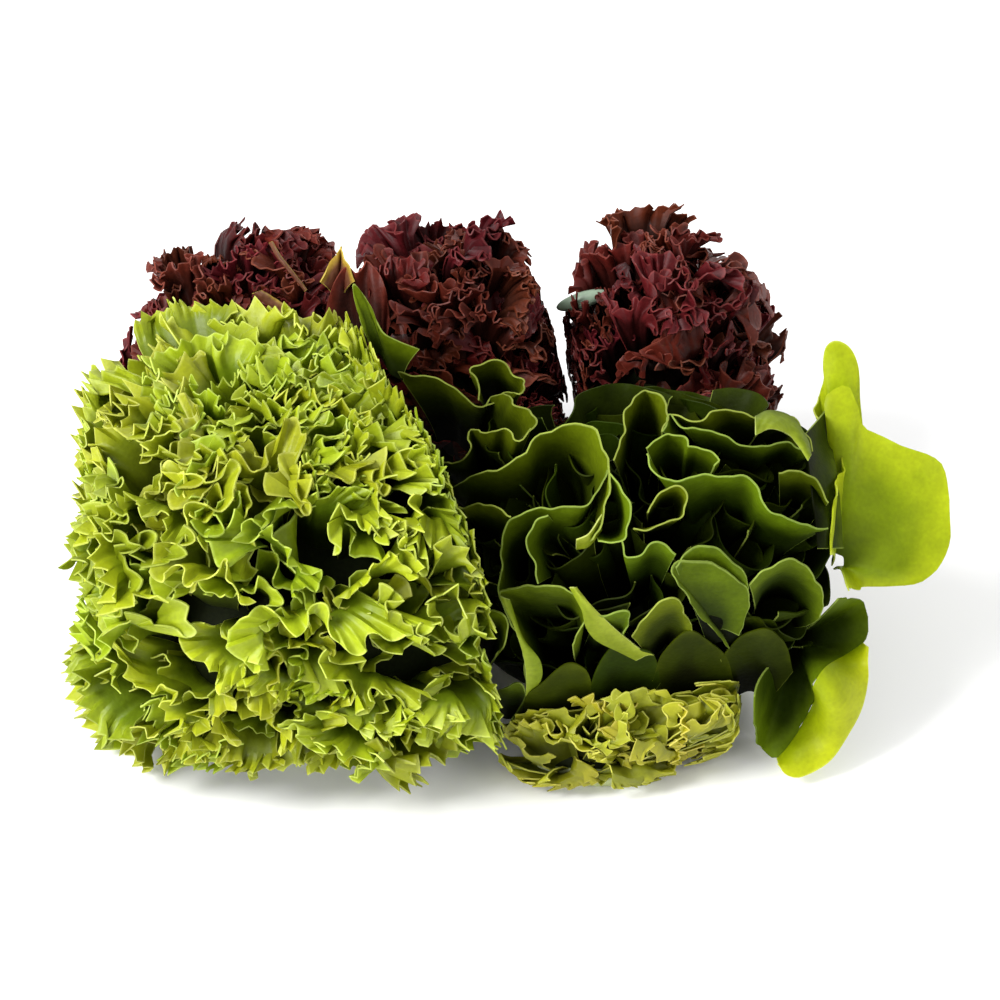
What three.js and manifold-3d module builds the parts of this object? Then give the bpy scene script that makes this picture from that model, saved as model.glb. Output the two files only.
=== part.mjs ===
// A bunch of lettuces packed side by side: a frilly green head on the left with a low skirt of such leaves
// along the front, a smooth head of rolled leaves on the right, and three frilly red heads behind.
// Each leaf is a thin wavy solid that grows out of its head's core.
// Millimetres, +X to the right, +Y to the back, +Z up. The bunch stands on the flat cut stems of its cores.
import * as THREE from "three";
import { mergeVertices } from "three/addons/utils/BufferGeometryUtils.js";
import Module from "manifold-3d";

const wasm = await Module();
wasm.setup();

const vector = (numbers) => new THREE.Vector3(...numbers);
const radians = (angle) => (angle * Math.PI) / 180;

// Driving sizes
const leafThickness = 1.1;
const neighbourGap = 0.9; // from a leaf's middle to the plane between two heads
const squeezeDepth = 8; // leaves this near a plane are pressed together
const floorGap = 1.2; // from a leaf's middle to the floor
const floorDepth = 8;
const viewTilt = 40; // the side that shows most faces forward and this much up
const goldenTurn = 137.508;
const coreFullness = 0.55; // under 1, a core's shoulders are fuller than a ball's
const lineSteps = 60; // steps in which a frilled leaf's cross line is worked out
const looseShare = 0.92; // a leaf's points beyond this share of the way out are drawn in
const slack = 0.1; // so that none is further out than looseShare + slack
const farAway = 300; // further than any leaf from the middle of the view

// The directions of the view from the front
const right = vector([1, 0, 0]);
const up = vector([0, Math.sin(radians(viewTilt)), Math.cos(radians(viewTilt))]);
const away = vector([0, Math.cos(radians(viewTilt)), -Math.sin(radians(viewTilt))]);

// Planes between the heads. A head keeps to the side that the normal points to.
const plane = (normal, through) => {
  const direction = vector(normal).normalize();
  return { direction, offset: direction.dot(vector(through)) };
};
const turned = ({ direction, offset }) => ({ direction: direction.clone().negate(), offset: -offset });
const sidePlane = plane([1, 0.42, 0.1], [-22, 0, 60]);
const backPlane = plane([0.03, 1, 0.2], [-10, 62, 88]);
const skirtPlane = plane([0.2, -1, -0.3], [30, -36, 25]);
const skirtRightPlane = plane([1, 0, 0], [84, 0, 0]);
const redPlaneLeft = plane([1, 0.1, 0.05], [-46, 90, 70]);
const redPlaneRight = plane([1, 0, -0.1], [18, 90, 90]);

// A bump or, with a height below 0, a hollow in a head's outside. Width in radians, height as a share of the way
// out, direction as it would be if the head were a ball.
const bump = (towards, width, height) => ({ towards: vector(towards).normalize(), width, height });

// The heads: the rounded shape that the leaves' margins reach, the crown that they grow from, and the core
const frillyHead = {
  centre: vector([-60, 1, 65]),
  radii: vector([78, 71, 70]),
  boxiness: 3.6,
  bumps: [
    bump([-1, -0.2, -0.75], 0.3, 0.15),
    bump([-1, 0, -0.1], 0.3, -0.06),
    bump([-0.86, 0.65, 0.79], 0.3, 0.1),
    bump([-0.25, 0.25, 1], 0.2, -0.16),
    bump([0.05, 0.7, 0.8], 0.3, -0.07),
    bump([0.5, 0.3, 1], 0.4, -0.06),
    bump([0, -1, -0.9], 0.6, -0.05),
  ],
  crown: vector([-66, 2, 10]),
  core: { centre: vector([-60, 0, 50]), radii: vector([60, 52, 44]), stem: [26, 26] },
  planes: [turned(sidePlane), turned(backPlane)],
  spiral: { count: 41, lowest: 120, seed: 11, start: 60, twist: 60, beyond: 12 },
  leaf: { span: 42, sag: 3, curl: 6, swing: 80, waves: 1.4, turn: 25, steps: 8, uneven: 3 },
};

const skirt = {
  centre: vector([32, -32, 18]),
  radii: vector([62, 20, 22]),
  boxiness: 2.6,
  bumps: [
    bump([0.8, -0.8, 0], 0.6, -0.25),
    bump([0.75, -0.5, -0.6], 0.6, -0.4),
    bump([-0.6, -0.8, -0.2], 0.4, 0.08),
  ],
  crown: vector([26, -39, 3]),
  core: { centre: vector([22, -40, 8]), radii: vector([26, 5, 7]), stem: [22, 3] },
  planes: [skirtPlane, sidePlane, turned(skirtRightPlane)],
  spiral: { count: 27, lowest: 112, seed: 71, start: 0, twist: 35, beyond: 3 },
  leaf: { span: 32, sag: 2, curl: 4, swing: 78, waves: 1.5, turn: 20, steps: 8, uneven: 2 },
};

const smoothHead = {
  centre: vector([48, 2, 60]),
  radii: vector([68, 56, 66]),
  boxiness: 2.4,
  bumps: [],
  crown: vector([48, 4, 12]),
  core: { centre: vector([38, 2, 36]), radii: vector([62, 48, 34]), stem: [22, 22] },
  planes: [sidePlane, turned(backPlane), turned(skirtPlane)],
  spiral: { count: 10, lowest: 115, seed: 131, start: 60, twist: 20, beyond: 2, hidden: -0.7 },
  leaf: { span: 62, sag: 6, curl: 3, swing: 18, waves: 1.5, turn: 50, steps: 8, uneven: 2 },
};

const redHead = (x, wide, high, planes, seed, bumps) => ({
  centre: vector([x, 93, high - 62]),
  radii: vector([wide, 34, 62]),
  boxiness: 2.5,
  bumps,
  crown: vector([x, 93, 6]),
  core: { centre: vector([x, 91, 48]), radii: vector([wide * 0.7, 22, 44]), stem: [14, 12] },
  planes: [backPlane, ...planes],
  spiral: { count: 14, lowest: 125, seed, start: 40, twist: 70, beyond: 6 },
  leaf: { span: 42, sag: 3, curl: 5, swing: 80, waves: 1.5, turn: 30, steps: 8, uneven: 4 },
});

const redHeads = {
  left: redHead(-85, 41, 118, [turned(redPlaneLeft)], 211, [
    bump([-0.46, 0.65, 0.43], 0.35, -0.13),
    bump([0.2, 0.94, 0.61], 0.15, 0.05),
    bump([0.56, 0.81, 0.53], 0.15, -0.12),
    bump([0.84, 0.84, 0.55], 0.2, 0.15),
  ]),
  middle: redHead(-17, 40, 121, [redPlaneLeft, turned(redPlaneRight)], 307, [
    bump([0.62, 0.7, 0.46], 0.22, -0.2),
    bump([0.42, 1, 0.67], 0.15, 0.06),
    bump([0.87, 0.3, 0.2], 0.3, 0.15),
    bump([-0.47, 0.91, 0.59], 0.2, -0.04),
  ]),
  right: redHead(55, 37, 119, [redPlaneRight], 401, [
    bump([-0.92, 0.38, 0.25], 0.22, 0.16),
    bump([0.58, 0.75, 0.49], 0.3, -0.12),
    bump([1, 0.49, 0.32], 0.2, 0.22),
    bump([1, 0, 0], 0.3, -0.1),
  ]),
};

// Where the smooth head's leaves grow from, inside its core
const feet = {
  middle: [50, 0, 26],
  front: [26, -28, 18],
  left: [24, 4, 26],
  right: [76, -8, 24],
  back: [48, 24, 26],
  low: [76, -16, 16],
};

// The smooth head's leaves that show, by their margins as seen from the front: right and up, in millimetres
const shownLeaves = [
  {
    foot: "middle",
    steps: 12,
    margin: [[-26, 81], [-21, 77], [-18, 69], [0, 76], [8, 80], [12, 86], [19, 89], [27, 89], [32, 85], [34, 78],
      [33, 60], [29, 53]],
  },
  { foot: "left", steps: 4, margin: [[-23, 65], [-8, 64], [4, 61]] },
  { foot: "front", steps: 8, margin: [[0, 34], [0, 44], [1, 54], [5, 60], [10, 63], [25, 63], [34, 75]] },
  { foot: "middle", steps: 4, margin: [[15, 61], [9, 52], [12, 39]] },
  { foot: "middle", steps: 6, margin: [[35, 74], [41, 60], [40, 54], [31, 53]] },
  { foot: "right", steps: 8, margin: [[42, 56], [57, 60], [59, 67], [51, 68], [46, 62]] },
  { foot: "middle", steps: 6, margin: [[38, 53], [39, 48], [42, 48], [48, 52], [55, 48]] },
  {
    foot: "front",
    steps: 10,
    margin: [[9, 3], [8, 13], [4, 26], [0, 35], [7, 39], [19, 39], [29, 27], [35, 18], [44, 7]],
  },
  { foot: "left", steps: 8, margin: [[-6, 98], [-10, 107], [-1, 110], [8, 104], [1, 100]] },
  {
    foot: "left",
    steps: 10,
    margin: [[-33, 106], [-24, 106], [-14, 100], [-5, 96], [3, 99], [12, 90], [10, 87]],
  },
  { foot: "left", steps: 6, margin: [[-21, 77], [-13, 78], [-9, 88], [2, 88], [10, 88]] },
  { foot: "back", steps: 8, margin: [[54, 93], [67, 87], [82, 82], [93, 84], [99, 80]] },
  { foot: "right", steps: 6, margin: [[46, 82], [54, 87], [59, 82], [68, 80]] },
  {
    foot: "right",
    steps: 10,
    margin: [[46, 80], [54, 71], [67, 74], [79, 72], [83, 65], [98, 57], [104, 57]],
  },
  { foot: "back", steps: 8, margin: [[36, 78], [38, 85], [46, 101], [53, 92], [52, 87]] },
  {
    foot: "low",
    steps: 12,
    margin: [[71, 12], [57, 37], [55, 44], [62, 49], [69, 50], [78, 39], [81, 30], [79, 12]],
  },
  { foot: "front", steps: 6, margin: [[-13, 30], [-12, 26], [-3, 30], [2, 29], [-3, 15]] },
];

// The two big outer leaves that open to the right
const outerLeaves = [
  {
    foot: "right",
    steps: 16,
    deep: 6,
    margin: [[100, 80], [103, 92], [106, 116], [111, 118], [118, 90], [132, 83], [144, 74], [146, 56], [138, 39],
      [118, 36]],
  },
  {
    foot: "low",
    planes: [skirtRightPlane],
    steps: 14,
    margin: [[106, 34], [118, 34], [119, 17], [117, -2], [107, -20], [99, -25], [93, -25], [87, -14], [79, 2]],
  },
];

// A repeatable number from 0 to 1 for a seed and a place in its list
function draw(seed, place) {
  const raw = Math.sin(seed * 12.9898 + place * 78.233) * 43758.5453;
  return raw - Math.floor(raw);
}

const spread = (seed, place, width) => (draw(seed, place) * 2 - 1) * width;

// Moves a distance that is under depth out, so that none is under gap and their order stays
const pressed = (distance, depth, gap) =>
  distance < depth ? gap + (depth - gap) * Math.exp((distance - depth) / (depth - gap)) : distance;

// Presses a point towards its own side of each plane and above the floor
function press(point, planes) {
  for (const { direction, offset } of planes) {
    const room = direction.dot(point) - offset;
    point.addScaledVector(direction, pressed(room, squeezeDepth, neighbourGap) - room);
  }
  point.z = pressed(point.z, floorDepth, floorGap);
  return point;
}

// How far out a head's outside is in a direction, where a ball's is 1
function outsideIn(direction, { boxiness, bumps }) {
  const sum = direction.toArray().reduce((total, part) => total + Math.abs(part) ** boxiness, 0);
  const swell = ({ towards, width, height }) => 1 + height * Math.exp(-((direction.angleTo(towards) / width) ** 2));
  return bumps.reduce((reach, each) => reach * swell(each), sum ** (-1 / boxiness));
}

// How far out a point is, as a share of the way to a head's outside
function shareOut(point, head) {
  const from = point.clone().sub(head.centre).divide(head.radii);
  const length = from.length();
  return length / outsideIn(from.divideScalar(length), head);
}

// Draws a point that is beyond a head's outside back to it
function hold(point, head) {
  const share = shareOut(point, head);
  if (share <= looseShare) return point;
  const kept = looseShare + slack * (1 - Math.exp((looseShare - share) / slack));
  return point.sub(head.centre).multiplyScalar(kept / share).add(head.centre);
}

// The ripple in the heading of a frilled leaf's cross line, at s from -1 to 1 and v from foot to margin
function ripple({ waves }, s, v) {
  let sum = 0;
  for (const { swing, growth, count, phase } of waves) {
    sum += radians(swing) * v ** growth * Math.sin(Math.PI * count * s + phase);
  }
  return sum;
}

// A frilled leaf's cross line at v, as [along, out] pairs at even steps of s, with its middle at 0
function crossLine(leaf, v, steps) {
  const step = 2 / lineSteps;
  const line = [[0, 0]];
  let reach = 0;
  for (let i = 0; i < lineSteps; i++) {
    const s = -1 + (i + 0.5) * step;
    const wave = ripple(leaf, s, v);
    const angle = wave + radians(s < 0 ? leaf.turn[0] : leaf.turn[1]) * s;
    const [along, out] = line[i];
    line.push([along + Math.cos(angle) * step, out + Math.sin(angle) * step]);
    reach += Math.cos(wave) * step;
  }
  const scale = (widthAt(leaf, v) * leaf.span) / reach;
  const middle = line[lineSteps / 2];
  return Array.from({ length: steps + 1 }, (_, k) => {
    const at = (k / steps) * lineSteps;
    const low = Math.min(Math.floor(at), lineSteps - 1);
    return [0, 1].map((i) => (THREE.MathUtils.lerp(line[low][i], line[low + 1][i], at - low) - middle[i]) * scale);
  });
}

const widthAt = (leaf, v) => leaf.footShare + (1 - leaf.footShare) * v ** 1.2;

// A frilled row, bent round the way that the leaf grows
function frillRow(leaf, v, steps, growing) {
  const across = leaf.across.clone().addScaledVector(growing, -leaf.across.dot(growing)).normalize();
  const facing = growing.clone().cross(across);
  return crossLine(leaf, v, steps).map(([along, out], k) => {
    const s = (2 * k) / steps - 1;
    const offset = across.clone().multiplyScalar(along).addScaledVector(facing, out - leaf.curl * v * v);
    return offset.addScaledVector(growing, -leaf.sag * v * s * s);
  });
}

// A row of a leaf whose margin is given: the margin drawn in towards the foot
const marginRow = (leaf, v, steps) =>
  leaf.margin.getPoints(steps).map((point) => point.sub(leaf.tip).multiplyScalar(widthAt(leaf, v)));

// A leaf's middle surface as rows of points from foot to margin
function leafRows(leaf) {
  const spine = new THREE.QuadraticBezierCurve3(leaf.foot, leaf.bend, leaf.tip);
  return leaf.rows.map(([v, steps]) => {
    const row = leaf.margin ? marginRow(leaf, v, steps) : frillRow(leaf, v, steps, spine.getTangent(v));
    const centre = spine.getPoint(v);
    const points = row.map((offset) => offset.add(centre));
    return points.map((point) => press(leaf.inside ? hold(point, leaf.inside) : point, leaf.planes));
  });
}

// Triangles between two rows: as many steps in each, or twice as many in the upper one
function stripTriangles(low, lowSteps, high, highSteps) {
  const triangles = [];
  for (let i = 0; i < lowSteps; i++) {
    const a = low + i;
    if (highSteps === lowSteps) {
      triangles.push([a, high + i + 1, high + i], [a, a + 1, high + i + 1]);
    } else {
      const b = high + 2 * i;
      triangles.push([a, b + 1, b], [a, a + 1, b + 1], [a + 1, b + 2, b + 1]);
    }
  }
  return triangles;
}

// A closed thin solid from a leaf's rows: two faces cut into triangles alike and a wall round the edge
function leafSolid(leaf) {
  const rows = leafRows(leaf);
  const points = rows.flat();
  const starts = rows.map((row, i) => rows.slice(0, i).reduce((sum, r) => sum + r.length, 0));
  const faces = [];
  for (let i = 0; i + 1 < rows.length; i++) {
    faces.push(...stripTriangles(starts[i], rows[i].length - 1, starts[i + 1], rows[i + 1].length - 1));
  }
  const normals = points.map(() => new THREE.Vector3());
  for (const [a, b, c] of faces) {
    const normal = points[b].clone().sub(points[a]).cross(points[c].clone().sub(points[a]));
    for (const corner of [a, b, c]) normals[corner].add(normal);
  }
  const side = (half) => points.map((p, i) => p.clone().addScaledVector(normals[i].clone().normalize(), half));
  const back = points.length;
  const triangles = faces.flatMap(([a, b, c]) => [[a, b, c], [back + c, back + b, back + a]]);
  const last = rows.length - 1;
  const edge = rows[0].map((_, k) => k);
  for (let i = 1; i < last; i++) edge.push(starts[i] + rows[i].length - 1);
  edge.push(...rows[last].map((_, k) => starts[last] + k).reverse());
  for (let i = last - 1; i > 0; i--) edge.push(starts[i]);
  edge.forEach((a, i) => {
    const b = edge[(i + 1) % edge.length];
    triangles.push([b, a, back + a], [b, back + a, back + b]);
  });
  return solidFrom([...side(leafThickness / 2), ...side(-leafThickness / 2)], triangles);
}

function solidFrom(points, triangles) {
  const vertProperties = new Float32Array(points.flatMap((p) => [p.x, p.y, p.z]));
  return new wasm.Manifold(
    new wasm.Mesh({ numProp: 3, vertProperties, triVerts: new Uint32Array(triangles.flat()) }),
  );
}

// The core of a head: a rounded body of packed leaf stalks on a flat cut stem
function coreSolid({ core, planes }) {
  const { centre, radii, stem } = core;
  const lowest = Math.max(centre.z - radii.z * 0.9, 5);
  const start = Math.asin((lowest - centre.z) / radii.z);
  const profile = [new THREE.Vector2(0, 0), new THREE.Vector2(1, 0)];
  const rings = 5;
  for (let i = 0; i < rings; i++) {
    const angle = start + ((Math.PI / 2 - start) * i) / rings;
    profile.push(new THREE.Vector2(Math.cos(angle) ** coreFullness, centre.z + radii.z * Math.sin(angle)));
  }
  profile.push(new THREE.Vector2(0, centre.z + radii.z));
  const turnedBody = new THREE.LatheGeometry(profile, 16);
  turnedBody.rotateX(Math.PI / 2);
  turnedBody.deleteAttribute("normal");
  turnedBody.deleteAttribute("uv");
  const merged = mergeVertices(turnedBody, 1e-4);
  const place = merged.getAttribute("position");
  const points = Array.from({ length: place.count }, (_, i) => {
    const onFloor = place.getZ(i) < 0.01;
    const [wide, deep] = onFloor ? stem : [radii.x, radii.y];
    const point = vector([centre.x + place.getX(i) * wide, centre.y + place.getY(i) * deep, place.getZ(i)]);
    return onFloor ? point : press(point, planes);
  });
  const index = Array.from(merged.index.array);
  const triangles = Array.from({ length: index.length / 3 }, (_, i) => index.slice(3 * i, 3 * i + 3));
  return solidFrom(points, triangles);
}

// The share of the way to its tip at which a leaf is still well inside the core
function shareInside({ centre, radii }, way) {
  for (let share = 0.95; share > 0.05; share -= 0.05) {
    if (way(share).sub(centre).divide(radii).length() < 0.85) return share;
  }
  return 0;
}

// Leaves spread over a head by equal turns, from its top down to the lowest that shows
function spiralLeaves(head) {
  const { count, lowest, seed, start, twist, beyond, hidden } = head.spiral;
  const leaves = [];
  for (let i = 0; i < count; i++) {
    const polar = Math.acos(1 - ((i + 0.6) / count) * (1 - Math.cos(radians(lowest))));
    const turn = radians(goldenTurn * i + spread(seed + i, 1, 14) + start);
    const direction = vector([Math.sin(polar) * Math.cos(turn), Math.sin(polar) * Math.sin(turn), Math.cos(polar)]);
    const reached = direction.clone().multiplyScalar(outsideIn(direction, head));
    const tip = head.centre.clone().add(reached.clone().multiply(head.radii));
    const outside = head.planes.some((side) => side.direction.dot(tip) < side.offset - beyond);
    const normal = reached.clone().divide(head.radii).normalize();
    const placed = hidden !== undefined && normal.dot(away) < hidden;
    if (outside || placed) continue;
    const across = vector([-Math.sin(turn), Math.cos(turn), 0]);
    across.applyAxisAngle(normal, radians(spread(seed + i, 2, twist)));
    leaves.push(frilledLeaf(head, tip, normal, across, seed + i));
  }
  return leaves;
}

function frilledLeaf(head, tip, normal, across, seed) {
  const { span, sag, curl, swing, waves, turn, steps, uneven } = head.leaf;
  const way = (share) => head.crown.clone().lerp(tip, share);
  const foot = way(shareInside(head.core, way));
  const end = tip.clone().addScaledVector(normal, spread(seed, 3, uneven));
  return {
    foot,
    bend: foot.clone().lerp(end, 0.55).add(vector([0, 0, 0.12 * foot.distanceTo(end)])),
    tip: end,
    planes: head.planes,
    inside: head,
    across,
    span: span * (1 + spread(seed, 4, 0.18)),
    footShare: 0.3,
    sag,
    curl: curl * (1 + spread(seed, 9, 0.6)),
    turn: [turn + spread(seed, 5, 25), turn + spread(seed, 6, 25)],
    waves: [{ count: waves + spread(seed, 7, 0.4), swing, growth: 1, phase: draw(seed, 8) * 2 * Math.PI }],
    rows: [[0, steps / 4], [0.5, steps / 2], [1, steps]],
  };
}

// The point of a head's outside that shows at a place of the view from the front
function onOutside(head, [across, high], deep) {
  const start = right.clone().multiplyScalar(across).addScaledVector(up, high);
  const at = (depth) => start.clone().addScaledVector(away, depth);
  const share = (depth) => shareOut(at(depth), head);
  let near = -farAway;
  let far = farAway;
  while (far - near > 0.01) {
    const third = (far - near) / 3;
    if (share(near + third) < share(far - third)) far -= third;
    else near += third;
  }
  const deepest = near;
  near = -farAway;
  while (share(deepest) < 1 && far - near > 0.01) {
    const middle = (near + far) / 2;
    if (share(middle) > 1) near = middle;
    else far = middle;
  }
  return at(far + deep);
}

// A leaf whose margin is placed as seen from the front
function placedLeaf(head, { foot, margin, steps, deep = 0, planes = head.planes }) {
  const curve = new THREE.CatmullRomCurve3(margin.map((place) => onOutside(head, place, deep)));
  const points = curve.getPoints(steps);
  const tip = points.reduce((sum, point) => sum.add(point), new THREE.Vector3()).divideScalar(points.length);
  const start = vector(feet[foot]);
  const bend = start.clone().lerp(tip, 0.6).add(vector([0, 0, 0.05 * start.distanceTo(tip)]));
  const spine = new THREE.QuadraticBezierCurve3(start, bend, tip);
  const first = shareInside(head.core, (share) => spine.getPoint(share));
  return {
    foot: start,
    bend,
    tip,
    margin: curve,
    planes,
    footShare: 0.15,
    rows: [[first, steps / 2], [(first + 1) / 2, steps / 2], [1, steps]],
  };
}

function joined(solids) {
  const whole = solids.reduce((sum, solid) => sum.add(solid)).simplify(0.2);
  return whole.decompose().sort((a, b) => b.volume() - a.volume())[0];
}

function meshOf(name, solid, material) {
  const { numProp, vertProperties, triVerts, numVert } = solid.getMesh();
  const place = new Float32Array(numVert * 3);
  for (let i = 0; i < numVert; i++) place.set(vertProperties.subarray(i * numProp, i * numProp + 3), i * 3);
  const geometry = new THREE.BufferGeometry();
  geometry.setAttribute("position", new THREE.BufferAttribute(place, 3));
  geometry.setIndex(new THREE.BufferAttribute(triVerts, 1));
  geometry.computeVertexNormals();
  const mesh = new THREE.Mesh(geometry, material);
  mesh.name = name;
  return mesh;
}

const finish = (colour) => new THREE.MeshStandardMaterial({ color: colour, roughness: 0.55, metalness: 0 });
const frillyGreen = finish(0x9fae2a);
const smoothGreen = finish(0x55701a);
const deepRed = finish(0x4a1a18);

function headMesh(name, head, material, placed = []) {
  const leaves = [...spiralLeaves(head), ...placed.map((leaf) => placedLeaf(head, leaf))];
  return meshOf(name, joined([coreSolid(head), ...leaves.map(leafSolid)]), material);
}

const heads = new THREE.Group();
heads.add(
  headMesh("frilly_green_head", frillyHead, frillyGreen),
  headMesh("frilly_green_skirt", skirt, frillyGreen),
  headMesh("smooth_green_head", smoothHead, smoothGreen, [...shownLeaves, ...outerLeaves]),
  ...Object.entries(redHeads).map(([side, head]) => headMesh(`frilly_red_${side}`, head, deepRed)),
);

// The origin is on the floor, under the middle of the whole bunch
const middle = new THREE.Box3().setFromObject(heads).getCenter(new THREE.Vector3());
heads.position.set(-middle.x, -middle.y, 0);
const bunch = new THREE.Group();
bunch.add(heads);

export default bunch;
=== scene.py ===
# A bunch of lettuces: thin frilled and rolled leaves that grow out of the cores of six heads.
import math

import bpy
import numpy as np
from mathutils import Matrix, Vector


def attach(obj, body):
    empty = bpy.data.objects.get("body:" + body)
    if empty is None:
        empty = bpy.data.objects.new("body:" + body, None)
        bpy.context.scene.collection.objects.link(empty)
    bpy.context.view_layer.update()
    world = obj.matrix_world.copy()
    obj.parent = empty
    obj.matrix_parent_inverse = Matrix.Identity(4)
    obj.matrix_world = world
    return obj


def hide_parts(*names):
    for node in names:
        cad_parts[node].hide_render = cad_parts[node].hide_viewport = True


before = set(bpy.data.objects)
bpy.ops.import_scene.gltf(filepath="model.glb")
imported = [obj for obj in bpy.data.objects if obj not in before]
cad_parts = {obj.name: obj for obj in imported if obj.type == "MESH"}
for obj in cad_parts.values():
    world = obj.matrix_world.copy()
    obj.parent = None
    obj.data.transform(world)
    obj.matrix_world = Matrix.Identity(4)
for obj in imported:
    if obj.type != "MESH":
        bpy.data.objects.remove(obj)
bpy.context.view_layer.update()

# Sizes are in millimetres and angles in degrees. The heads are placed as in the part's source, before it is
# centred.
LEAF_THICKNESS = 0.5
NEIGHBOUR_GAP = 0.4
SQUEEZE_DEPTH = 8
FLOOR_GAP = 0.6
FLOOR_DEPTH = 8
GOLDEN_TURN = 137.508
SMOOTH_UP_TO = 60

# The core of a head: how full its ball is, how its stem starts and how high the pale stem shows
CORE_FULLNESS = 0.55
STEM_STARTS_AT = 0.9
STEM_STARTS_ABOVE = 5
STEM_SHOWS_BELOW = 9

# How far a frilled leaf's foot is inside the core, how its spine bends, and how wide the leaf is at its foot
FOOT_INSIDE_CORE = 0.85
SPINE_BEND = 0.55
SPINE_RISE = 0.12
FRILLED_FOOT_SHARE = 0.3
FRILLED_FLARE = 1.2
CURL_FROM = 0.3
TEETH_FROM = 0.85
TOOTH_POINT = 1.3

# How uneven frilled leaves are among themselves: shares of what their layer says, and angles
SPANS = (0.8, 1.2)
WAVE_SWINGS = (0.85, 1.1)
WAVE_COUNTS = (0.85, 1.15)
TOOTH_HEIGHTS = (0.25, 1.25)
TOOTH_LEANS = (-0.7, 0.7)
EDGE_TURNS = (-25, 25)
SPIRAL_TURNS = (-14, 14)
PHASES = (0, 6.28)

LOOSE_SHARE = 0.9  # a leaf's points beyond this share of the way out are drawn in
SLACK = 0.12  # so that none is further out than both together

# The rows of points of each kind of leaf, from 0 at its foot to 1 at its margin. A frilled leaf's rows say
# how many times fewer steps each has than the margin. A leaf that faces away or is hidden has fewer in all.
LINE_STEPS = 288
FEWER_STEPS = 72
FACES_AWAY_FROM = 0.05
NEVER = -2
FRILLED_ROWS = ((0, 4), (0.35, 4), (0.6, 2), (0.76, 2), (0.89, 1), (1, 1))
PLACED_STEPS = 72
PLACED_ROWS = (0, 0.15, 0.3, 0.45, 0.6, 0.72, 0.82, 0.9, 0.96, 1)
PANEL_STEPS = 48
PANEL_ROWS = (0, 0.1, 0.2, 0.3, 0.4, 0.5, 0.6, 0.7, 0.8, 0.9, 0.95, 1)

# The length of each ripple of a placed margin, and how far it swings
MARGIN_RIPPLES = ((23, 0.7), (11, 0.4), (6, 0.15))
RIPPLE_GROWTH = 12
PLACED_FLARE = 1.3
PANEL_TINTS = (0.3, 0.7)

# The soft folds of placed leaves and panels: the height of each, how fast it turns across and up the leaf,
# and which of the leaf's two phases it starts at
FOLDS = ((1, 3.1, 2.6, 0), (0.5, 6.3, -4.2, 1), (0.22, 17, 9, 1), (0.16, 11, -23, 0))

# The finishes: where a leaf's very edge starts and is full, and how its surface is roughened
EDGE = (0.985, 0.998)
BUMP_STRENGTH = 0.5
BUMP_DEPTH = 0.6

# The view from the front, through a long lens, and how finely places are looked up from it
VIEW_TILT = 40
VIEW_WIDTH = 326
VIEW_DISTANCE = 2200
VIEW_UP = 65.5
VIEW_BACK = 23
SENSOR = 36
VIEW_DEPTH = 300.0  # everything is nearer to the middle than this
NEAREST_STEPS = 60
SURFACE_STEPS = 40
SPLINE_STEP = 0.05

# The floor and the round lights, in metres: where each light is, how wide and how strong
FLOOR_SIZE = 12
LIT_PLACE = (0, 0, 0.06)
SKY_STRENGTH = 0.65
LIGHTS = (
    ("key", (-1.1, -0.6, 1.3), 0.8, 40),
    ("low", (-1.1, -1.0, 0.45), 0.7, 13),
    ("fill", (1.2, -0.7, 0.9), 1.0, 5),
    ("back", (0.4, 1.2, 1.1), 0.8, 14),
)

TILT = math.radians(VIEW_TILT)
RIGHT = np.array([1.0, 0.0, 0.0])
UP = np.array([0.0, math.sin(TILT), math.cos(TILT)])
AWAY = np.array([0.0, math.cos(TILT), -math.sin(TILT)])


def unit(direction):
    return direction / np.linalg.norm(direction)


def reach_of(directions, head):
    """How far a head's outside is in each direction, where a ball's is 1."""
    reach = (np.abs(directions) ** head["boxiness"]).sum(axis=-1) ** (-1 / head["boxiness"])
    for towards, width, height in head["bumps"]:
        turn = np.arccos(np.clip(directions @ unit(np.array(towards, float)), -1, 1))
        reach = reach * (1 + height * np.exp(-(turn / width) ** 2))
    return reach


def share_of(points, head):
    """How far out the points are, as a share of the way to the head's outside."""
    away = (points - head["centre"]) / head["radii"]
    length = np.linalg.norm(away, axis=-1)
    return length / reach_of(away / np.maximum(length, 1e-9)[..., None], head)


def plane(normal, through):
    """A plane between neighbours: its direction, and how far along it the plane is."""
    direction = unit(np.array(normal, float))
    return direction, float(direction @ np.array(through, float))


def turned(side):
    return -side[0], -side[1]


SIDE_PLANE = plane([1, 0.42, 0.1], [-22, 0, 60])
BACK_PLANE = plane([0.03, 1, 0.2], [-10, 62, 88])
SKIRT_PLANE = plane([0.2, -1, -0.3], [30, -36, 25])
SKIRT_RIGHT_PLANE = plane([1, 0, 0], [79, 0, 0])
RED_PLANE_LEFT = plane([1, 0.1, 0.05], [-46, 90, 70])
RED_PLANE_RIGHT = plane([1, 0.2, 0.15], [20, 90, 84])

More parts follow.
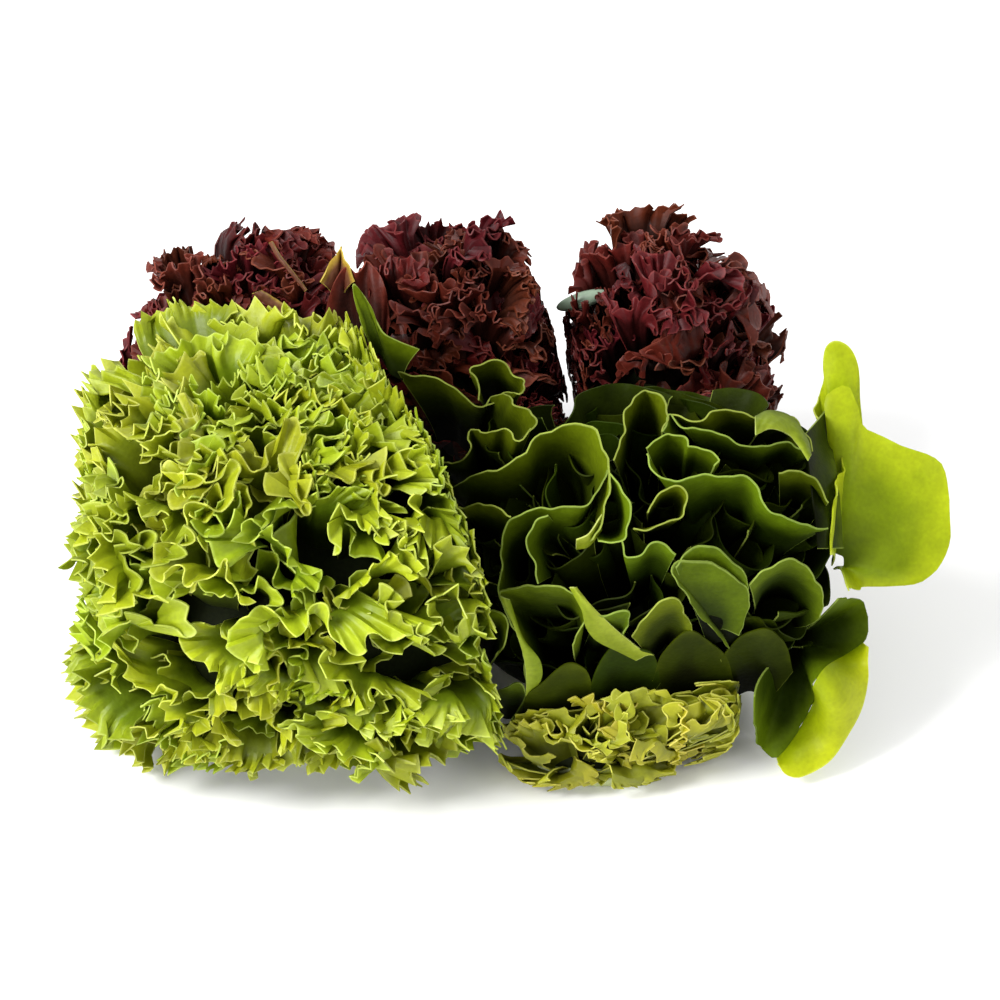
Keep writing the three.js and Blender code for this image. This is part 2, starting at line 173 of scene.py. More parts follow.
# A head's outside is a ball of these radii, made boxy, with bumps in the given directions. Its leaves grow
# from the crown, out of the core, in layers of so many leaves each, and stay on their side of the planes.
FRILLY_HEAD = {
    "centre": [-60, 1, 65],
    "radii": [78, 71, 70],
    "boxiness": 3.6,
    "bumps": [([-1, -0.2, -0.75], 0.3, 0.15), ([-1, 0, -0.1], 0.3, -0.06), ([-0.86, 0.65, 0.79], 0.3, 0.1),
              ([-0.25, 0.25, 1], 0.2, -0.16), ([0.05, 0.7, 0.8], 0.3, -0.07), ([0.5, 0.3, 1], 0.4, -0.06),
              ([0, -1, -0.9], 0.6, -0.05)],
    "crown": [-66, 2, 10],
    "core": {"centre": [-60, 0, 50], "radii": [60, 52, 44], "stem": [26, 26]},
    "planes": [turned(SIDE_PLANE), turned(BACK_PLANE)],
    "layers": [
        {"count": 150, "lowest": 128, "seed": 1100, "start": 20, "twist": 60, "beyond": 20, "inset": 4,
         "span": 46, "reach": (0.88, 1.04), "curl": (3, 14), "sag": 3, "turn": 25, "uneven": 6,
         "steps": 144, "teeth": 18, "tooth": 5, "waves": [(70, 1.5, 1.4), (76, 3, 4.0), (44, 7, 9)]},
        {"count": 26, "lowest": 40, "seed": 1900, "start": 50, "twist": 80, "beyond": 20, "inset": 6,
         "span": 34, "reach": (0.86, 0.98), "curl": (-3, 6), "sag": 3, "turn": 40, "uneven": 4,
         "steps": 144, "teeth": 16, "tooth": 4, "waves": [(70, 1.5, 1.4), (76, 3, 4.0), (44, 7, 9)]},
        {"count": 60, "lowest": 128, "seed": 1500, "start": 90, "twist": 60, "beyond": 10, "inset": 14,
         "span": 44, "reach": (0.85, 0.93), "curl": (0, 8), "sag": 3, "turn": 25, "uneven": 4, "steps": 48,
         "teeth": 12, "tooth": 3, "waves": [(70, 1.5, 1.5), (66, 3, 4.6)]},
    ],
}

SKIRT = {
    "centre": [32, -32, 18],
    "radii": [62, 20, 22],
    "boxiness": 2.6,
    "bumps": [([0.8, -0.8, 0], 0.6, -0.25), ([0.75, -0.5, -0.6], 0.6, -0.4), ([-0.6, -0.8, -0.2], 0.4, 0.08),
              ([0.15, -0.4, 1], 0.2, 0.14), ([0.5, -0.3, 1], 0.2, -0.1), ([-0.3, -0.4, 1], 0.2, 0.1)],
    "crown": [26, -39, 3],
    "core": {"centre": [32, -40, 7], "radii": [20, 4, 6], "stem": [18, 3]},
    "planes": [SKIRT_PLANE, SIDE_PLANE, turned(SKIRT_RIGHT_PLANE)],
    "layers": [
        {"count": 40, "lowest": 150, "seed": 7100, "start": 0, "twist": 60, "beyond": 8, "inset": 2,
         "span": 46, "reach": (0.85, 1.15), "curl": (2, 12), "sag": 2, "turn": 40, "uneven": 7,
         "steps": 144, "teeth": 16, "tooth": 3.4, "waves": [(66, 1.2, 1.4), (80, 2, 4), (50, 6, 9)]},
        {"count": 44, "lowest": 150, "seed": 7400, "start": 70, "twist": 60, "beyond": 12, "inset": 6,
         "span": 36, "reach": (0.75, 0.95), "curl": (0, 8), "sag": 2, "turn": 40, "uneven": 3, "steps": 48,
         "teeth": 12, "tooth": 2, "waves": [(60, 1.5, 1.3), (76, 2, 4)]},
    ],
}

SMOOTH_HEAD = {
    "centre": [48, 2, 60],
    "radii": [68, 56, 66],
    "boxiness": 2.4,
    "bumps": [],
    "crown": [48, 4, 12],
    "core": {"centre": [42, 12, 28], "radii": [52, 30, 26], "stem": [22, 22]},
    "planes": [SIDE_PLANE, turned(BACK_PLANE), turned(SKIRT_PLANE)],
    "layers": [
        # Both layers keep to the darker part of the colour: painted shade on the leaves at the back and deep
        # among the others
        {"count": 34, "lowest": 118, "seed": 13100, "start": 60, "twist": 20, "beyond": 8,
         "leaves_out_front": -0.5, "inset": 2, "shades": (0, 0.6), "span": 50, "reach": (0.85, 0.98),
         "curl": (0, 6), "sag": 5, "turn": 45, "uneven": 4, "steps": 48, "teeth": 0, "tooth": 0,
         "waves": [(20, 1, 1.5), (20, 4, 3.3)]},
        {"count": 100, "lowest": 152, "seed": 13500, "start": 0, "twist": 60, "beyond": 14, "inset": 14,
         "shades": (0, 0.65), "span": 44, "reach": (0.76, 0.86), "curl": (-6, 6), "sag": 3, "turn": 60,
         "uneven": 6, "steps": 48, "teeth": 0, "tooth": 0, "waves": [(40, 1, 1.5), (20, 4, 3.3)]},
    ],
}


def red_head(x, wide, high, planes, seed, bumps):
    """A red head from its place, half its width, its height, its neighbours and the bumps of its outside."""
    return {
        "centre": [x, 93, high - 62],
        "radii": [wide, 34, 62],
        "boxiness": 2.5,
        "bumps": bumps,
        "crown": [x, 93, 6],
        "seen_above": 98,
        "core": {"centre": [x, 91, 44], "radii": [wide * 0.6, 20, 40], "stem": [14, 12]},
        "planes": [BACK_PLANE, *planes],
        "layers": [
            {"count": 96, "lowest": 125, "seed": seed, "start": 40, "twist": 70, "beyond": 20, "inset": 3,
             "span": 32, "reach": (0.76, 1.14), "curl": (0, 10), "sag": 3, "turn": 30, "uneven": 10,
             "steps": 144, "teeth": 28, "tooth": 2.4,
             "waves": [(70, 1.5, 1.5), (88, 1.6, 5), (74, 3.5, 14)]},
        ],
    }


RED_HEADS = {
    "frilly_red_left": red_head(-85, 41, 118, [turned(RED_PLANE_LEFT)], 21100, [
        ([-0.46, 0.65, 0.43], 0.35, -0.16), ([-0.1, 0.9, 0.58], 0.12, 0.07), ([0.2, 0.94, 0.61], 0.12, 0.07),
        ([0.56, 0.81, 0.53], 0.15, -0.14), ([0.84, 0.84, 0.55], 0.24, 0.28), ([0.87, -0.3, 0.3], 0.4, 0.2)]),
    "frilly_red_middle": red_head(-17, 40, 121, [RED_PLANE_LEFT, turned(RED_PLANE_RIGHT)], 30700, [
        ([0.62, 0.7, 0.46], 0.2, -0.24), ([0.42, 1, 0.67], 0.13, 0.09), ([0.1, 0.8, 0.5], 0.12, -0.06),
        ([0.87, 0.1, 0], 0.35, 0.25), ([-0.47, 0.91, 0.59], 0.2, -0.06), ([-0.87, -0.3, 0.3], 0.4, 0.2),
        ([-0.8, 0.6, 0.4], 0.2, 0.15)]),
    "frilly_red_right": red_head(55, 37, 119, [RED_PLANE_RIGHT], 40900, [
        ([-0.85, 0.8, 0.52], 0.14, 0.24), ([-0.9, 0.5, 0.33], 0.25, -0.25), ([0.58, 0.75, 0.49], 0.3, -0.14),
        ([0.3, 0.9, 0.6], 0.12, 0.05), ([1, 0.49, 0.32], 0.2, 0.22), ([1, 0, 0], 0.3, -0.1),
        ([-0.87, -0.4, 0], 0.35, 0.2)]),
}

# The smooth head's rolled leaves as seen from the front, in millimetres to the right and up: each leaf's foot
# with how deep it lies behind the margin, then its margin
ROLLED_LEAVES = [
    ((12, 52, 45), [[-26, 81], [-21, 77], [-18, 69], [-9, 73], [0, 76], [8, 80], [12, 86], [19, 89],
                    [27, 89], [32, 85], [34, 78], [34, 70], [33, 60], [29, 53]]),
    ((-8, 50, 40), [[-23, 65], [-15, 63], [-8, 64], [-1, 63], [4, 61]]),
    ((14, 40, 45), [[0, 34], [0, 44], [1, 54], [5, 60], [10, 63], [17, 63], [25, 63], [30, 68], [34, 75]]),
    ((22, 48, 40), [[15, 61], [11, 58], [9, 52], [10, 46], [12, 39]]),
    ((30, 62, 45), [[35, 74], [39, 67], [41, 60], [40, 54], [36, 52], [31, 53]]),
    ((50, 56, 45), [[42, 56], [50, 58], [57, 60], [59, 63], [59, 67], [56, 69], [51, 68], [46, 62]]),
    ((46, 34, 45), [[38, 53], [39, 48], [42, 48], [48, 52], [52, 51], [55, 48]]),
    ((20, 17, 38), [[9, 0], [8, 14], [5, 24], [0, 35], [2, 38], [7, 38], [15, 38], [21, 38], [24, 36],
                    [27, 29], [26, 20], [24, 15]]),
    ((30, 14, 40), [[30, 29], [34, 26], [41, 26], [42, 20], [40, 12]]),
    ((0, 92, 40), [[-6, 98], [-8, 104], [-10, 107], [-8, 109], [-1, 110], [5, 106], [8, 104], [6, 100],
                   [1, 100], [-5, 96]]),
    ((-8, 82, 40), [[-33, 106], [-24, 106], [-18, 104], [-14, 100], [-9, 97], [-5, 96], [-3, 99], [3, 99],
                    [5, 96], [10, 93], [12, 90], [10, 87]]),
    ((-4, 68, 40), [[-21, 77], [-13, 78], [-10, 83], [-9, 88], [-3, 87], [2, 88], [6, 85], [10, 88]]),
    ((76, 72, 45), [[52, 87], [54, 93], [59, 88], [67, 87], [73, 85], [82, 82], [87, 83], [93, 84],
                    [98, 80], [99, 80]]),
    ((76, 76, 45), [[54, 93], [63, 91], [71, 94], [79, 93], [88, 91], [94, 92], [98, 87], [99, 81]]),
    ((58, 66, 40), [[46, 82], [51, 86], [54, 87], [58, 85], [59, 82], [63, 82], [68, 80], [70, 78],
                    [68, 76]]),
    ((74, 48, 45), [[46, 80], [49, 75], [54, 71], [59, 72], [67, 74], [73, 73], [79, 72], [83, 65],
                    [90, 60], [98, 57], [104, 57]]),
    ((44, 70, 40), [[36, 78], [38, 85], [41, 95], [46, 101], [51, 98], [53, 92], [52, 87]]),
    ((94, 56, 40), [[88, 75], [96, 74], [102, 70], [105, 65]]),
    ((74, 14, 34), [[55, 44], [58, 48], [64, 51], [69, 50], [74, 45], [78, 39], [80, 32]]),
    ((-6, 12, 40), [[-13, 30], [-12, 26], [-8, 28], [-3, 30], [2, 29], [1, 20], [-3, 15]]),
    ((4, -8, 30), [[-9, 3], [-1, 4], [7, 5], [9, 0], [5, -5], [0, -10], [-6, -12]]),
    ((54, 16, 35), [[44, 14], [48, 24], [55, 30], [60, 24], [64, 12]]),
    ((88, 30, 40), [[80, 34], [84, 42], [92, 46], [99, 42], [103, 34], [104, 24]]),
]

# The outer faces of the leaves in front, foot and margin
FRONT_ROW = [
    ((20, -22, 25), [[8, -8], [9, -1], [15, 2], [22, 8], [29, 4], [33, -8]]),
    ((42, -20, 25), [[31, -8], [33, 3], [38, 12], [45, 9], [52, 4], [55, -8]]),
    ((64, -18, 25), [[52, -6], [55, 4], [62, 13], [69, 8], [76, 1], [79, -8]]),
    ((84, -10, 25), [[74, 0], [79, 8], [87, 13], [94, 9], [97, 0]]),
]

# The two big outer leaves that open to the right. Each has parts in the light, painted bright with the outer
# finish, and a shaded part, painted dark with the rolled leaves' finish.
TALL_FRONT = ((109, 46, 8), [[105, 48], [106, 59], [107, 69], [111, 78], [108, 88], [105, 98], [110, 102],
                             [113, 102], [116, 96], [118, 89], [131, 83], [141, 79], [145, 72], [146, 59],
                             [145, 48], [137, 39], [118, 37], [111, 37]])
TALL_BACK = ((110, 72, 4), [[102, 88], [103, 97], [105, 104], [105, 111], [106, 116], [109, 118],
                            [113, 116], [116, 110], [117, 99], [118, 88]])
TALL_SHADED = ([[97, 86], [98, 79], [99, 70], [100, 60], [101, 50]],
               [[106, 95], [107, 86], [108, 76], [109, 64], [110, 50]])
LOW_SHADED = ((96, 20, 16), [[75, 3], [78, -6], [84, -15], [90, -19], [96, -11], [102, 0], [101, 6],
                             [105, 12], [112, 15], [118, 19], [120, 27], [116, 33], [108, 34]])

# The boat-shaped leaf in front of the low outer leaf
BOAT = ((70, 22, 12), [[77, 4], [71, 12], [63, 24], [57, 37], [54, 43], [57, 47], [62, 46], [68, 44],
                       [73, 40], [78, 35], [80, 30], [81, 21], [79, 10]])

# Folded parts that catch the light, each from one line to another: the low outer leaf's, two at the sides of
# the cup in front, a small one above it, and the one at the head's top. Their brightness is painted light:
# lit finishes and the light end of the colour.
LOW_FLAP = ([[118, 19], [112, 15], [105, 12], [101, 6], [102, 0], [96, -11], [90, -19]],
            [[119, 18], [119, 13], [119, 7], [117, -2], [113, -10], [107, -19], [98, -25], [93, -24],
             [90, -20]])
CUP_STRIP = ([[10, 0], [14, 5], [13, 13], [7, 22], [3, 34]], [[9, -2], [9, 4], [8, 14], [5, 24], [0, 35]])
CUP_FLAP = ([[22, 38], [26, 30], [28, 22], [32, 15], [40, 8], [46, 3]],
            [[24, 38], [29, 31], [35, 23], [41, 15], [47, 8], [52, 4]])
SMALL_FLAP = ([[24, 50], [28, 51], [32, 56]], [[24, 53], [28, 55], [32, 61]])
TOP_FLAP = ([[81, 92], [86, 94], [93, 92], [98, 85], [99, 80]],
            [[81, 86], [86, 88], [92, 86], [96, 81], [98, 78]])

# The leaf that stands between the frilly green head and the middle red head
STANDING_LEAF = ((-38, 108, 4), [[-44, 112], [-50, 122], [-51, 132], [-50, 135], [-48, 136], [-45, 133],
                                 [-42, 128], [-38, 120], [-33, 117], [-26, 114]])

# Among the red heads: two ribs, the leaf between the left and the middle head with a young leaf's tip in
# front of it, the rounded form that these two lie on, and a pale piece of stalk
LEFT_RIB = ([[-76, 150], [-73, 145], [-68, 139], [-64, 134]],
            [[-75, 150.6], [-72, 145.6], [-67.3, 139.6], [-63.4, 134.4]])
LOW_RIB = ([[-81, 133], [-77, 130], [-72, 126]], [[-78, 134], [-73, 131], [-69, 128]])
YOUNG_TIP = ((-53, 134, 4), [[-59, 137], [-57, 141], [-55, 144], [-53, 146], [-52, 149], [-51, 145],
                             [-49, 142], [-48, 137]])
BETWEEN_LEAF = ((-46, 108, 8), [[-58, 124], [-56, 132], [-53, 139], [-50, 142], [-47, 140], [-44, 144],
                                [-41, 141], [-38, 136], [-36, 124]])
BETWEEN = {"centre": [-46, 96, 56], "radii": [30, 30, 62], "boxiness": 2.5, "bumps": [], "planes": []}
STALK = {"at": (27, 131.5, 9), "half_sizes": (9, 2.6, 2.8), "lean": -22}


def pressed(distance, depth, gap):
    """A distance to a wall, where all that is nearer than the depth is squeezed between it and the gap."""
    near = gap + (depth - gap) * np.exp(np.minimum((distance - depth) / (depth - gap), 0))
    return np.where(distance < depth, near, distance)


def hold(points, head, reach):
    """Points that are beyond their reach in a head, drawn back to it."""
    centre = np.array(head["centre"], float)
    share = share_of(points, head)
    loose = LOOSE_SHARE * reach
    kept = loose + SLACK * (1 - np.exp(np.minimum(loose - share, 0) / SLACK))
    return centre + (points - centre) * np.where(share > loose, kept / share, 1)[:, None]


def press(points, planes):
    """Points moved to their own side of each plane and above the floor, their order kept."""
    for direction, offset in planes:
        room = points @ direction - offset
        points = points + np.outer(pressed(room, SQUEEZE_DEPTH, NEIGHBOUR_GAP) - room, direction)
    points[:, 2] = pressed(points[:, 2], FLOOR_DEPTH, FLOOR_GAP)
    return points


def width_at(leaf, v):
    """A leaf's width at v, as a share of its width at the margin."""
    return leaf["foot_share"] + (1 - leaf["foot_share"]) * v ** leaf["flare"]


def cross_line(leaf, v, steps):
    """The wavy line across a frilled leaf at v: how far along and how far out, from its middle."""
    step = 2 / LINE_STEPS
    s = -1 + (np.arange(LINE_STEPS) + 0.5) * step
    wave = np.zeros(LINE_STEPS)
    for swing, growth, count, phase, drift in leaf["waves"]:
        place = s + 0.1 * np.sin(3 * s + drift)
        wave += math.radians(swing) * v ** growth * np.sin(math.pi * count * place + phase)
    angle = wave + np.radians(np.where(s < 0, *leaf["turn"])) * s
    scale = width_at(leaf, v) * leaf["span"] / (np.cos(wave).sum() * step)
    at = np.arange(steps + 1) * (LINE_STEPS // steps)
    along = np.concatenate([[0], np.cumsum(np.cos(angle))]) * step
    out = np.concatenate([[0], np.cumsum(np.sin(angle))]) * step
    middle = LINE_STEPS // 2
    return (along[at] - along[middle]) * scale, (out[at] - out[middle]) * scale


def teeth(leaf, s):
    """Pointed teeth along the margin, and which way each one leans."""
    if not leaf["teeth"]:
        return np.zeros(len(s)), np.zeros(len(s))
    place = (s + 1) / 2 * leaf["teeth"]
    tooth = np.minimum(place.astype(int), leaf["teeth"] - 1)
    height = leaf["tooth_heights"][tooth] * (1 - np.abs(2 * (place - tooth) - 1)) ** TOOTH_POINT
    return height, height * leaf["tooth_leans"][tooth]


def spine_at(leaf, v):
    """The point of a leaf's spine at v, and which way the leaf grows there."""
    foot, bend, tip = leaf["foot"], leaf["bend"], leaf["tip"]
    point = (1 - v) ** 2 * foot + 2 * (1 - v) * v * bend + v ** 2 * tip
    growing = 2 * (1 - v) * (bend - foot) + 2 * v * (tip - bend)
    return point, unit(growing)


def folded(leaf, v, s):
    """How far a leaf's soft folds come towards the front."""
    folds = sum(height * np.sin(across * s + up * v + leaf["phases"][which])
                for height, across, up, which in FOLDS)
    return leaf["folds"] * folds * min(1.0, 3 * v)


def leaf_row(leaf, v, steps):
    """The points across a leaf at v, from side to side: a panel's, a placed leaf's or a frilled leaf's."""
    s = np.linspace(-1, 1, steps + 1)
    if "panel" in leaf:
        first, last = leaf["panel"]
        at = np.linspace(0, len(first) - 1, steps + 1).round().astype(int)
        bulge = leaf["bulge"] * 4 * v * (1 - v)
        points = first[at] * (1 - v) + last[at] * v - np.outer(bulge + folded(leaf, v, s), AWAY)
    elif "margin" in leaf:
        at = np.linspace(0, len(leaf["margin"]) - 1, steps + 1).round().astype(int)
        points = spine_at(leaf, v)[0] + (leaf["margin"][at] - leaf["tip"]) * width_at(leaf, v)
        points = points + leaf["wave"][at] * v ** RIPPLE_GROWTH - np.outer(folded(leaf, v, s), AWAY)
    else:
        centre, growing = spine_at(leaf, v)
        across = unit(leaf["across"] - (leaf["across"] @ growing) * growing)
        facing = np.cross(growing, across)
        along, out = cross_line(leaf, v, steps)
        lift, lean = teeth(leaf, s)
        near_margin = max(0.0, (v - TEETH_FROM) / (1 - TEETH_FROM))
        lift = lift * near_margin - leaf["sag"] * v * s * s
        out = out - leaf["curl"] * max(0.0, (v - CURL_FROM) / (1 - CURL_FROM)) ** 2
        points = centre + np.outer(along, across) + np.outer(out + lean * near_margin, facing)
        points = hold(points, leaf["inside"], leaf["reach"]) + np.outer(lift, growing)
    return press(points, leaf["planes"])


class Sheets:
    """Thin leaf surfaces gathered into one mesh, with each point's place across its leaf, how far its colour
    is from the foot's painted shade, and its leaf's tint.
    """

    def __init__(self):
        self.points = []
        self.faces = []
        self.places = []
        self.tints = []
        self.count = 0

    def add(self, leaf):
        """Add a leaf's points and faces. From row to row its steps stay the same or double."""
        starts = []
        sizes = []
        low_shade, high_shade = leaf["shades"]
        for v, steps in leaf["rows"]:
            starts.append(self.count)
            sizes.append(steps)
            self.count += steps + 1
            self.points.append(leaf_row(leaf, v, steps))
            # Where each row's colour lies from the dark foot to the light tip, in the leaf's own range: a low
            # range paints a leaf in shade, a high one paints it lit
            shade = low_shade + (high_shade - low_shade) * v
            self.places.append(np.column_stack([np.linspace(0, 1, steps + 1), np.full(steps + 1, shade)]))
            self.tints.append(np.tile(leaf["tint"], (steps + 1, 1)))
        for i in range(len(starts) - 1):
            low, high = starts[i], starts[i + 1]
            if sizes[i] == sizes[i + 1]:
                for k in range(sizes[i]):
                    self.faces.append((low + k, low + k + 1, high + k + 1, high + k))
            else:
                for k in range(sizes[i]):
                    a, b = low + k, high + 2 * k
                    self.faces.extend([(a, b + 1, b), (a, a + 1, b + 1), (a + 1, b + 2, b + 1)])


def frilled_leaf(head, shape, tip, normal, across, seed, steps):
    """A frilled leaf from inside its head's core to a tip on the head's outside."""
    random = np.random.default_rng(seed)
    crown = np.array(head["crown"], float)
    core = head["core"]
    share = 0.95
    while share > 0.05:
        reached = (crown + (tip - crown) * share - core["centre"]) / core["radii"]
        if np.linalg.norm(reached) < FOOT_INSIDE_CORE:
            break
        share -= 0.05
    foot = crown + (tip - crown) * share
    end = tip + normal * random.uniform(-1, 1) * shape["uneven"]
    return {
        "foot": foot,
        "bend": foot + (end - foot) * SPINE_BEND + np.array([0, 0, SPINE_RISE * np.linalg.norm(end - foot)]),
        "tip": end,
        "planes": head["planes"],
        "inside": head,
        "shades": shape.get("shades", (0, 1)),
        "reach": random.uniform(*shape["reach"]),
        "across": across,
        "span": shape["span"] * random.uniform(*SPANS),
        "foot_share": FRILLED_FOOT_SHARE,
        "flare": FRILLED_FLARE,
        "sag": shape["sag"],
        "curl": random.uniform(*shape["curl"]),
        "turn": shape["turn"] + random.uniform(*EDGE_TURNS, 2),
        "waves": [
            (swing * random.uniform(*WAVE_SWINGS), growth, count * random.uniform(*WAVE_COUNTS),
             *random.uniform(*PHASES, 2))
            for swing, growth, count in shape["waves"]
        ],
        "teeth": shape["teeth"],
        "tooth_heights": shape["tooth"] * random.uniform(*TOOTH_HEIGHTS, max(shape["teeth"], 1)),
        "tooth_leans": random.uniform(*TOOTH_LEANS, max(shape["teeth"], 1)),
        "tint": random.uniform(0, 1, 2),
        "rows": [(v, steps // fewer) for v, fewer in FRILLED_ROWS],
    }


def spiral_leaves(head):
    """Leaves spread over a head by equal turns, from its top down to the lowest that shows."""
    centre, radii = np.array(head["centre"], float), np.array(head["radii"], float)
    leaves = []
    for layer in head["layers"]:
        for i in range(layer["count"]):
            random = np.random.default_rng(layer["seed"] * 7 + i)
            polar = math.acos(1 - (i + 0.6) / layer["count"] * (1 - math.cos(math.radians(layer["lowest"]))))
            turn = math.radians(GOLDEN_TURN * i + random.uniform(*SPIRAL_TURNS) + layer["start"])
            direction = np.array([
                math.sin(polar) * math.cos(turn), math.sin(polar) * math.sin(turn), math.cos(polar)])
            outside = direction * reach_of(direction, head)
            normal = unit(np.sign(outside) * np.abs(outside) ** (head["boxiness"] - 1) / radii)
            tip = centre + outside * radii
            if any(side @ tip < offset - layer["beyond"] for side, offset in head["planes"]):
                continue
            if normal @ AWAY < layer.get("leaves_out_front", NEVER):
                continue
            level = np.array([-math.sin(turn), math.cos(turn), 0])
            level = unit(level - (level @ normal) * normal)
            twist = math.radians(random.uniform(-1, 1) * layer["twist"])
            across = level * math.cos(twist) + np.cross(normal, level) * math.sin(twist)
            in_front = normal @ AWAY < FACES_AWAY_FROM and tip @ UP > head.get("seen_above", 0)
            steps = layer["steps"] if in_front else min(layer["steps"], FEWER_STEPS)
            leaves.append(frilled_leaf(head, layer, tip - normal * layer["inset"], normal, across,
                                       layer["seed"] + i, steps))
    return leaves


def on_outside(head, across, high, deep):
    """The point of a head's outside that shows at a place of the view from the front."""
    start = RIGHT * across + UP * high

    def reached(depth):
        return share_of(start + AWAY * depth, head)

    near, far = -VIEW_DEPTH, VIEW_DEPTH
    for _ in range(NEAREST_STEPS):
        one, other = near + (far - near) / 3, far - (far - near) / 3
        if reached(one) < reached(other):
            far = other
        else:
            near = one
    depth = (near + far) / 2
    if reached(depth) < 1:
        near, far = -VIEW_DEPTH, depth
        for _ in range(SURFACE_STEPS):
            depth = (near + far) / 2
            if reached(depth) > 1:
                near = depth
            else:
                far = depth
    return start + AWAY * (depth + deep)


def smooth_line(points, steps):
    """A smooth line through the points, at even lengths."""
    points = np.array(points)
    ends = np.vstack([2 * points[0] - points[1], points, 2 * points[-1] - points[-2]])
    fine = []
    for i in range(1, len(ends) - 2):
        a, b, c, d = ends[i - 1:i + 3]
        for t in np.arange(0, 1, SPLINE_STEP):
            fine.append(0.5 * (2 * b + (c - a) * t + (2 * a - 5 * b + 4 * c - d) * t ** 2
                               + (3 * b - a - 3 * c + d) * t ** 3))
    fine = np.array([*fine, points[-1]])
    lengths = np.concatenate([[0], np.cumsum(np.linalg.norm(np.diff(fine, axis=0), axis=1))])
    at = np.linspace(0, lengths[-1], steps + 1)
    return np.column_stack([np.interp(at, lengths, fine[:, i]) for i in range(3)])


def placed_leaf(head, foot, margin, seed, deep=0, planes=None, folds=0.0, foot_share=0.45, shades=(0, 1)):
    """A leaf whose margin is placed as seen from the front, with its foot in the hollow behind it."""
    random = np.random.default_rng(seed)
    line = smooth_line([on_outside(head, x, y, deep) for x, y in margin], PLACED_STEPS)
    s = np.linspace(-1, 1, PLACED_STEPS + 1)
    tip = line.mean(axis=0)
    start = RIGHT * foot[0] + UP * foot[1] + AWAY * (tip @ AWAY + foot[2])
    growing = unit(tip - start)
    along = np.gradient(line, axis=0)
    outward = np.cross(along / np.linalg.norm(along, axis=1)[:, None], growing)
    wave = np.zeros((PLACED_STEPS + 1, 3))
    around = np.linalg.norm(np.diff(line, axis=0), axis=1).sum()
    for length, swing in MARGIN_RIPPLES:
        wave += outward * (swing * np.sin(math.pi * around / length * s + random.uniform(*PHASES)))[:, None]
    return {
        "foot": start,
        "bend": start + (tip - start) * 0.5,
        "tip": tip,
        "margin": line,
        "wave": wave,
        "folds": folds,
        "phases": random.uniform(*PHASES, 2),
        "planes": head["planes"] if planes is None else planes,
        "foot_share": foot_share,
        "flare": PLACED_FLARE,
        "shades": shades,
        "tint": random.uniform(0, 1, 2),
        "rows": [(v, PLACED_STEPS) for v in PLACED_ROWS],
    }


def panel(head, first, last, seed, deep=(0, 0), bulge=0.0, folds=0.3, planes=None, shades=(0.6, 1)):
    """A part of a leaf that is folded over, between two lines as seen from the front. Unless told otherwise
    it keeps to the light end of the colour, painted light.
    """
    random = np.random.default_rng(seed)
    lines = [smooth_line([on_outside(head, x, y, depth) for x, y in line], PANEL_STEPS)
             for line, depth in ((first, deep[0]), (last, deep[1]))]
    return {
        "panel": lines,
        "bulge": bulge,
        "folds": folds,
        "phases": random.uniform(*PHASES, 2),
        "planes": head["planes"] if planes is None else planes,
        "shades": shades,
        "tint": random.uniform(*PANEL_TINTS, 2),
        "rows": [(v, PANEL_STEPS) for v in PANEL_ROWS],
    }


def material_of(name, colours, roughness, seen_through, gloss=0.4):
    """A leaf's finish: its mottled colour from a painted-shade foot to the margin, with some of the light let
    through.
    """
    material = bpy.data.materials.new(name)
    material.use_nodes = True
    nodes, links = material.node_tree.nodes, material.node_tree.links
    nodes.clear()
    group = nodes.new("ShaderNodeGroup")
    group.node_tree = LEAF_COLOUR
    for key, colour in colours.items():
        group.inputs[key].default_value = colour if isinstance(colour, (int, float)) else (*linear(colour), 1)
    principled = nodes.new("ShaderNodeBsdfPrincipled")
    principled.inputs["Roughness"].default_value = roughness
    principled.inputs["Specular IOR Level"].default_value = gloss
    bump = nodes.new("ShaderNodeBump")
    bump.inputs["Strength"].default_value = BUMP_STRENGTH
    bump.inputs["Distance"].default_value = BUMP_DEPTH / 1000
    through = nodes.new("ShaderNodeBsdfTranslucent")
    mixed = nodes.new("ShaderNodeMixShader")
    mixed.inputs["Fac"].default_value = seen_through
    output = nodes.new("ShaderNodeOutputMaterial")
    links.new(group.outputs["Colour"], principled.inputs["Base Color"])
    links.new(group.outputs["Seen through"], through.inputs["Color"])
    links.new(group.outputs["Height"], bump.inputs["Height"])
    links.new(bump.outputs["Normal"], principled.inputs["Normal"])
    links.new(principled.outputs["BSDF"], mixed.inputs[1])
    links.new(through.outputs["BSDF"], mixed.inputs[2])
    links.new(mixed.outputs["Shader"], output.inputs["Surface"])
    return material


def linear(colour):
    """A screen colour, 0 to 255, as the shader's numbers."""
    return [c / 12.92 if c <= 0.04045 else ((c + 0.055) / 1.055) ** 2.4 for c in (x / 255 for x in colour)]


